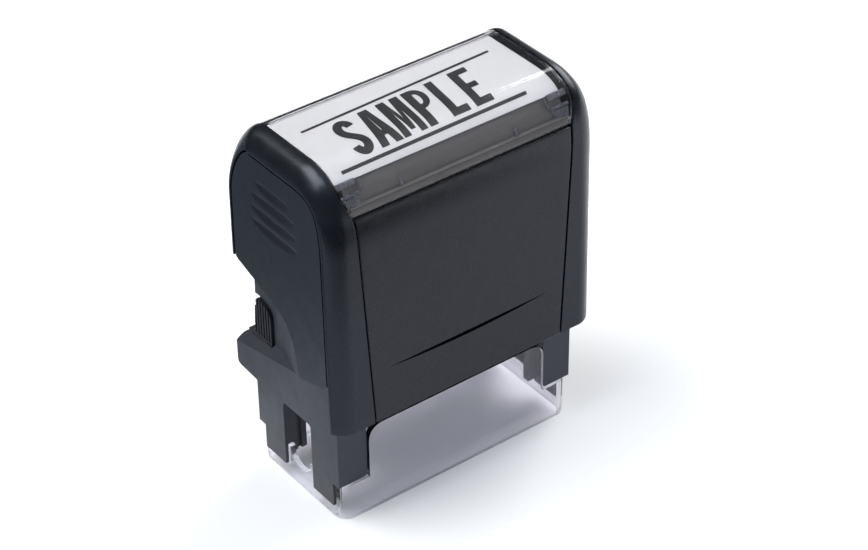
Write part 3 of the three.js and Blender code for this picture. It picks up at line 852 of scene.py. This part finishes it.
WORD = "SAMPLE"
STROKE = 0.17            # width of the letters' strokes, for a cap height of 1
CELL = 0.40              # width of a letter
PITCH = 0.505            # from one letter to the next


def arc(cx, cy, rx, ry, start, end, steps=14):
    angles = [math.radians(start + (end - start) * i / steps) for i in range(steps + 1)]
    return [(cx + rx * math.cos(a), cy + ry * math.sin(a)) for a in angles]


def thick(line, width):
    """Closed outline of a line of the given width."""
    left, right = [], []
    for i in range(len(line)):
        (x0, y0), (x1, y1) = line[max(i - 1, 0)], line[min(i + 1, len(line) - 1)]
        length = math.hypot(x1 - x0, y1 - y0)
        nx, ny = -(y1 - y0) / length * width / 2, (x1 - x0) / length * width / 2
        left.append((line[i][0] + nx, line[i][1] + ny))
        right.append((line[i][0] - nx, line[i][1] - ny))
    return left + right[::-1]


def letter(name):
    """Outlines of a capital in a cell of width CELL and height 1; the second is a hole."""
    w, t = CELL, STROKE
    if name == "S":
        r = w / 2 - t * 0.46
        top, low = 0.735, 0.265
        line = arc(w / 2, top, r, 1 - t / 2 - top, 10, 180)
        line += [
            bezier((w / 2 - r, top), (w / 2 - r, 0.53), (w / 2 + r, 0.47), (w / 2 + r, low), i / 12)
            for i in range(1, 12)
        ]
        line += arc(w / 2, low, r, low - t / 2, 0, -170)
        return [thick(line, t * 0.97)]
    if name == "A":
        outer = [(-0.03, 0), (w / 2 - 0.095, 1), (w / 2 + 0.095, 1), (w + 0.03, 0), (w - 0.13, 0)]
        outer += [(w - 0.165, 0.22), (0.165, 0.22), (0.13, 0)]
        return [outer, [(0.19, 0.36), (w - 0.19, 0.36), (w / 2, 0.83)]]
    if name == "M":
        e, u = 0.05, 0.145
        outer = [(-e, 0), (-e + 0.02, 1), (u, 1), (w / 2, 0.42), (w - u, 1), (w + e - 0.02, 1), (w + e, 0)]
        outer += [(w + e - u, 0), (w + e - u - 0.012, 0.62), (w / 2 + 0.05, 0.1)]
        return [outer + [(w / 2 - 0.05, 0.1), (u - e + 0.012, 0.62), (u - e, 0)]]
    if name == "P":
        outer = [(0, 0), (0, 1)] + arc(w - 0.24, 0.71, 0.24, 0.29, 90, -90) + [(t, 0.42), (t, 0)]
        hole = [(t, 0.86)] + arc(w - 0.2, 0.71, 0.07, 0.15, 90, -90, 8) + [(t, 0.56)]
        return [outer, hole]
    if name == "L":
        return [[(0, 0), (0, 1), (t, 1), (t, 0.15), (w - 0.02, 0.15), (w - 0.02, 0)]]
    # What is left is an E.
    bar = 0.145
    right = w - 0.01
    return [[
        (0, 0), (0, 1), (right, 1), (right, 1 - bar), (t, 1 - bar), (t, 0.5 + bar / 2),
        (right - 0.04, 0.5 + bar / 2), (right - 0.04, 0.5 - bar / 2), (t, 0.5 - bar / 2),
        (t, bar), (right, bar), (right, 0),
    ]]


def word_outlines():
    """The word's outlines in a box from 0 to 1 both ways."""
    total = PITCH * (len(WORD) - 1) + CELL
    return [
        [((x + PITCH * i) / total, y) for x, y in outline]
        for i, name in enumerate(WORD)
        for outline in letter(name)
    ]


def flat_fill(name, outlines, step):
    """A flat mesh that fills the outlines, in millimetres, cut into rows and columns of step."""
    curve = bpy.data.curves.new(name, "CURVE")
    curve.dimensions = "2D"
    curve.fill_mode = "BOTH"
    for outline in outlines:
        spline = curve.splines.new("POLY")
        spline.use_cyclic_u = True
        spline.points.add(len(outline) - 1)
        for point, (x, y) in zip(spline.points, outline):
            point.co = (x * MM, y * MM, 0, 1)
    obj = bpy.data.objects.new(name, curve)
    bpy.context.scene.collection.objects.link(obj)
    bpy.context.view_layer.update()
    mesh = bpy.data.meshes.new_from_object(obj)
    bpy.data.objects.remove(obj)
    bm = bmesh.new()
    bm.from_mesh(mesh)
    bmesh.ops.remove_doubles(bm, verts=bm.verts[:], dist=0.005 * MM)
    if step:
        for axis in (0, 1):
            values = [v.co[axis] for v in bm.verts]
            low, high = min(values), max(values)
            normal = [0, 0, 0]
            normal[axis] = 1
            for i in range(1, int((high - low) / MM / step) + 1):
                place = [0, 0, 0]
                place[axis] = low + i * step * MM
                geometry = bm.verts[:] + bm.edges[:] + bm.faces[:]
                bmesh.ops.bisect_plane(bm, geom=geometry, plane_co=place, plane_no=normal)
    return bm


# Corners of the card's artwork, which sits a little askew: back left, back right, front left, right.
ARTWORK = ((-24.3, 2.9), (23.2, 4.3), (-25.3, -11.7), (20.4, -11.3))
PRINT_LIFT = 0.03        # height of the print above the card
WORD_BOX = (0.115, 0.845, 0.085, 0.905)    # left, right, front and back of the word in the artwork
RULE_HALF = 0.024        # half width of the rules, as a share of the artwork's depth


def on_artwork(u, v):
    """Place on the card of a point of the artwork, u to the right and v to the back, both 0 to 1."""
    back = [a + (b - a) * u for a, b in zip(ARTWORK[0], ARTWORK[1])]
    front = [a + (b - a) * u for a, b in zip(ARTWORK[2], ARTWORK[3])]
    return [f + (b - f) * v for f, b in zip(front, back)]


def card_print():
    """A sample of the imprint on the card: one word between two rules, laid on its curve."""
    left, right, front, back = WORD_BOX
    outlines = [
        [on_artwork(left + (right - left) * x, front + (back - front) * y) for x, y in outline]
        for outline in word_outlines()
    ]
    rule = ((0, -RULE_HALF), (1, -RULE_HALF), (1, RULE_HALF), (0, RULE_HALF))
    for v in (0.0, 1.0):
        outlines.append([on_artwork(u, v + dv) for u, dv in rule])
    bm = flat_fill("card_print", outlines, 1.2)
    for v in bm.verts:
        v.co.z = (height_at(v.co.y / MM, CARD_DEPTH) + PRINT_LIFT) * MM
    for face in bm.faces:
        if face.normal.z < 0:
            face.normal_flip()
    mesh = bpy.data.meshes.new("card_print")
    bm.to_mesh(mesh)
    bm.free()
    return new_object("card_print", mesh)


finish_piece(card_print(), PRINT, "cap", "card")


# ---- base ----

frame_moulding = refined("base_frame", "frame_moulding", 0.35, 3)
finish_piece(frame_moulding, FRAME_GREY, "base", "frame_plastic", "base_frame")
skirt_moulding = refined("clear_skirt", "skirt_moulding", 0.3, 2)
finish_piece(skirt_moulding, CLEAR, "base", "clear_plastic", "clear_skirt")
bridge_moulding = refined("bridge", "bridge_moulding", 0.3, 2)
finish_piece(bridge_moulding, INNER_BLACK, "cap", "inner_plastic", "bridge")


def return_spring():
    """Compression coil with closed ends."""
    low, high = (corner.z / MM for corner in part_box("return_spring"))
    radius, wire, turns, steps = 5.0, 0.45, 8, 40
    closed_pitch = 0.95      # rise of the closed turn at each end
    curve = bpy.data.curves.new("return_coil", "CURVE")
    curve.dimensions = "3D"
    curve.bevel_depth = wire * MM
    curve.bevel_resolution = 4
    curve.use_fill_caps = True
    spline = curve.splines.new("POLY")
    count = turns * steps
    spline.points.add(count)
    for i in range(count + 1):
        turn = i / steps
        share = min(max((turn - 1) / (turns - 2), 0.0), 1.0)
        flat = (min(turn, 1.0) + max(turn - (turns - 1), 0.0)) * closed_pitch
        z = low + wire + flat + (high - low - 2 * wire - 2 * closed_pitch) * share
        angle = turn * 2 * math.pi
        spline.points[i].co = (
            radius * math.cos(angle) * MM, radius * math.sin(angle) * MM, z * MM, 1,
        )
    obj = bpy.data.objects.new("return_coil", curve)
    bpy.context.scene.collection.objects.link(obj)
    bpy.context.view_layer.update()
    mesh = bpy.data.meshes.new_from_object(obj)
    bpy.data.objects.remove(obj)
    for polygon in mesh.polygons:
        polygon.use_smooth = True
    return new_object("return_coil", mesh), low, high


coil, coil_low, coil_high = return_spring()
finish_piece(coil, STEEL, "base", "spring_steel", "return_spring")
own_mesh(coil)


# ---- ink pad ----

tray_moulding = refined("ink_tray", "tray_moulding", 0.12, 2)
finish_piece(tray_moulding, INNER_BLACK, "pad", "inner_plastic", "ink_tray")
ink_pad = finish_piece(refined("ink_pad", "ink_felt", 0.5, 4), INK_CLOTH, "pad", "ink_felt", "ink_pad")


# ---- die ----

carrier_moulding = refined("die_carrier", "carrier_moulding", 0.3, 3)
finish_piece(carrier_moulding, INNER_BLACK, "die", "inner_plastic", "die_carrier")
finish_piece(refined("text_plate", "plate_moulding", 0.3, 3), SLATE, "die", "slate_plastic", "text_plate")
cushion = finish_piece(refined("die_cushion", "foam_cushion", 0.25, 3), FOAM, "die", "foam", "die_cushion")
for side in ("left", "right"):
    finish_piece(
        refined(f"{side}_flip_cam", f"{side}_cam", 0.15, 2), INNER_BLACK, "die", "inner_plastic",
        f"{side}_flip_cam",
    )


def raised_die():
    """Rubber sheet with the word and rules raised on it, mirrored as on a real die."""
    low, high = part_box("rubber_die")
    face, relief = high.z / MM, 1.0
    half_x, half_y = high.x / MM, (high.y - low.y) / 2 / MM
    sheet = prism(
        "sheet", [(-half_x, -half_y), (half_x, -half_y), (half_x, half_y), (-half_x, half_y)],
        "z", low.z / MM, face - relief,
    )
    bevel(sheet, 0.2, 2)
    word_half, cap_height, rule_half, rule_y, rule_width = 17.2, 6.7, 23.0, 5.55, 0.7
    outlines = [
        [((1 - 2 * x) * word_half, (y - 0.5) * cap_height) for x, y in outline]
        for outline in word_outlines()
    ]
    for y in (rule_y - rule_width / 2, -rule_y - rule_width / 2):
        corners = ((-rule_half, 0), (rule_half, 0), (rule_half, rule_width), (-rule_half, rule_width))
        outlines.append([(x, y + dy) for x, dy in corners])
    bm = flat_fill("raised", outlines, 0)
    bmesh.ops.dissolve_limit(bm, angle_limit=0.01, verts=bm.verts[:], edges=bm.edges[:])
    made = bmesh.ops.extrude_face_region(bm, geom=bm.faces[:])
    raised = {v for v in made["geom"] if isinstance(v, bmesh.types.BMVert)}
    for v in bm.verts:
        v.co.z = (face if v in raised else face - relief - 0.05) * MM
    letters = from_bmesh("letters", bm)
    bevel(letters, 0.06, 1, 60)
    return smooth(join("rubber_text", [sheet, letters]))


finish_piece(raised_die(), RUBBER, "die", "die_rubber", "rubber_die")


# ---- stage: floor, light and camera ----


def floor():
    bm = bmesh.new()
    bmesh.ops.create_grid(bm, x_segments=1, y_segments=1, size=3.0)
    obj = from_bmesh("floor", bm)
    n = Nodes("Floor")
    n.set(Base_Color=(0.93, 0.93, 0.93, 1), Roughness=0.9, Specular_IOR_Level=0.0)
    obj.data.materials.append(n.material)


def softbox(name, place, target, size, power, color=(1, 1, 1), shines=True):
    """A rectangular lamp; one that doesn't shine lights the scene without a highlight."""
    light = bpy.data.lights.new(name, "AREA")
    light.shape = "RECTANGLE"
    light.size, light.size_y = size
    light.energy = power
    light.color = color
    obj = bpy.data.objects.new(name, light)
    obj.location = place
    obj.rotation_mode = "QUATERNION"
    obj.rotation_quaternion = (Vector(target) - Vector(place)).to_track_quat("-Z", "Y")
    obj.visible_glossy = shines
    bpy.context.scene.collection.objects.link(obj)


CAMERA_LENS = 104.6
CAMERA_PLACE = (-0.252531, -0.341938, 0.350352)    # metres from the middle of the cap's foot
CAMERA_AIM = (-0.001594, -0.009256, 0.047701)
CAMERA_ROLL = -0.77      # degrees


def camera():
    data = bpy.data.cameras.new("camera")
    data.sensor_width = 36.0
    data.lens = CAMERA_LENS
    data.clip_start, data.clip_end = 0.01, 20
    obj = bpy.data.objects.new("camera", data)
    middle = Vector((0, MIDDLE, 0))
    place = Vector(CAMERA_PLACE) + middle
    aim = Vector(CAMERA_AIM) + middle
    turn = (aim - place).to_track_quat("-Z", "Y").to_matrix()
    tilt = Matrix.Rotation(math.radians(CAMERA_ROLL), 3, "Z")
    obj.rotation_mode = "QUATERNION"
    obj.location = place
    obj.rotation_quaternion = (turn @ tilt).to_quaternion()
    bpy.context.scene.collection.objects.link(obj)
    bpy.context.scene.camera = obj


def floor_card(name, low, high, direction, near, far, colors):
    """A card on the floor that shows only in reflections.

    Its tone runs from the first colour to the second between two distances along direction.
    """
    obj = prism(name, [low, (high[0], low[1]), high, (low[0], high[1])], "z", 0.2, 0.4)
    n = Nodes(name)
    place = n.add("ShaderNodeTexCoord").outputs["Object"]
    along = n.add("ShaderNodeVectorMath", operation="DOT_PRODUCT")
    n.link(place, along.inputs[0])
    along.inputs[1].default_value = (*direction, 0)
    share = n.add("ShaderNodeMapRange")
    n.link(along.outputs["Value"], share.inputs["Value"])
    share.inputs["From Min"].default_value = near * MM
    share.inputs["From Max"].default_value = far * MM
    n.link(n.ramp(share.outputs["Result"], *colors, 0.0, 1.0), n.shader.inputs["Base Color"])
    n.set(Roughness=0.9, Specular_IOR_Level=0.0)
    obj.data.materials.append(n.material)
    obj.visible_camera = False
    obj.visible_diffuse = False
    obj.visible_shadow = False
    obj.visible_transmission = False


SKY = (0.13, 0.135, 0.145, 1)        # up to SKY_START, a share of the way up
SKY_START = 0.62
ZENITH = (0.70, 0.71, 0.73, 1)


def sky():
    """A dim sky that brightens overhead."""
    world = bpy.data.worlds.new("Studio")
    world.use_nodes = True
    tree = world.node_tree
    background = tree.nodes["Background"]
    place = tree.nodes.new("ShaderNodeTexCoord").outputs["Generated"]
    split = tree.nodes.new("ShaderNodeSeparateXYZ")
    ramp = tree.nodes.new("ShaderNodeValToRGB")
    for element, position, color in zip(ramp.color_ramp.elements, (SKY_START, 1.0), (SKY, ZENITH)):
        element.position = position
        element.color = color
    tree.links.new(place, split.inputs[0])
    tree.links.new(split.outputs["Z"], ramp.inputs["Fac"])
    tree.links.new(ramp.outputs["Color"], background.inputs["Color"])
    bpy.context.scene.world = world


def studio():
    """Soft lamps, and cards on the floor whose tones the dark plastics reflect."""
    scene = bpy.context.scene
    scene.view_settings.view_transform = "Standard"
    scene.cycles.use_denoising = True
    scene.cycles.max_bounces = 16
    scene.cycles.transmission_bounces = 14
    scene.cycles.transparent_max_bounces = 16
    target = (0, 0, 0.05)
    softbox("key", (-0.24, -0.12, 0.95), target, (0.20, 0.20), 1.0, (0.62, 0.78, 1.0))
    softbox("right", (0.95, 0.15, 0.70), target, (0.9, 0.7), 10.8)
    softbox("left", (-0.55, 0.30, 1.00), target, (0.9, 0.7), 10.8)
    softbox("front", (-0.42, -0.80, 0.30), target, (0.5, 0.3), 3.0, (0.85, 0.92, 1.0), False)
    light, dark = (0.61, 0.61, 0.65), (0.02, 0.022, 0.026)
    white, grey, blue = (0.60, 0.63, 0.70), (0.50, 0.52, 0.57), (0.17, 0.19, 0.23)
    floor_card("front_card", (-700, -900), (118, -20), (-0.30, -0.95), 92, 150, (light, dark))
    floor_card("side_card", (-900, 30), (-15, 700), (-0.7, 0.7), 40, 100, (grey, blue))
    floor_card("left_card", (-900, -20), (-40, 30), (-1.0, 0.0), 45, 110, (white, blue))


floor()
camera()
sky()
studio()
